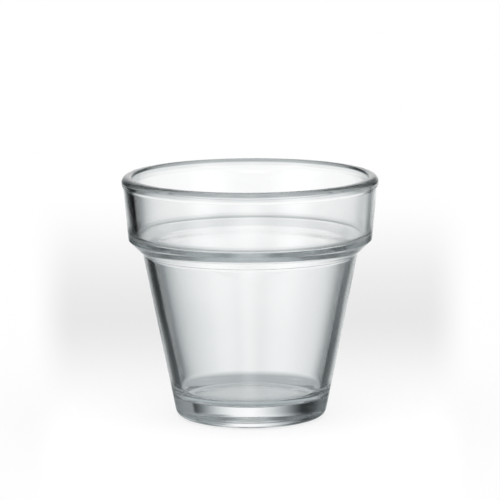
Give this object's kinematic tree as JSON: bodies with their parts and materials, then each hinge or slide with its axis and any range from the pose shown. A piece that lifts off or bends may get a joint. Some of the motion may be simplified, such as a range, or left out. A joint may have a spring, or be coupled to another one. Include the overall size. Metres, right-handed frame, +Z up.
{
  "type": "glass dessert cup",
  "caption": "Clear pressed glass dessert cup in the form of a flower pot: tapered bowl, stepped-out collar, rounded beaded rim and thick base; it stands free and holds a dessert.",
  "frame": {"origin": "centre of the circle that the foot ring stands on, at the bottom of the cup", "axes": "+Z up along the cup's axis of revolution, from the foot to the rim; X and Y lie in the plane that the cup stands on"},
  "size_m": [0.087, 0.087, 0.0825],
  "materials": {
    "clear_glass": "fire-polished clear soda-lime glass with a faint cool grey-green tint"
  },
  "bodies": {
    "root": {"glass_cup": "clear_glass"}
  },
  "joints": []
}
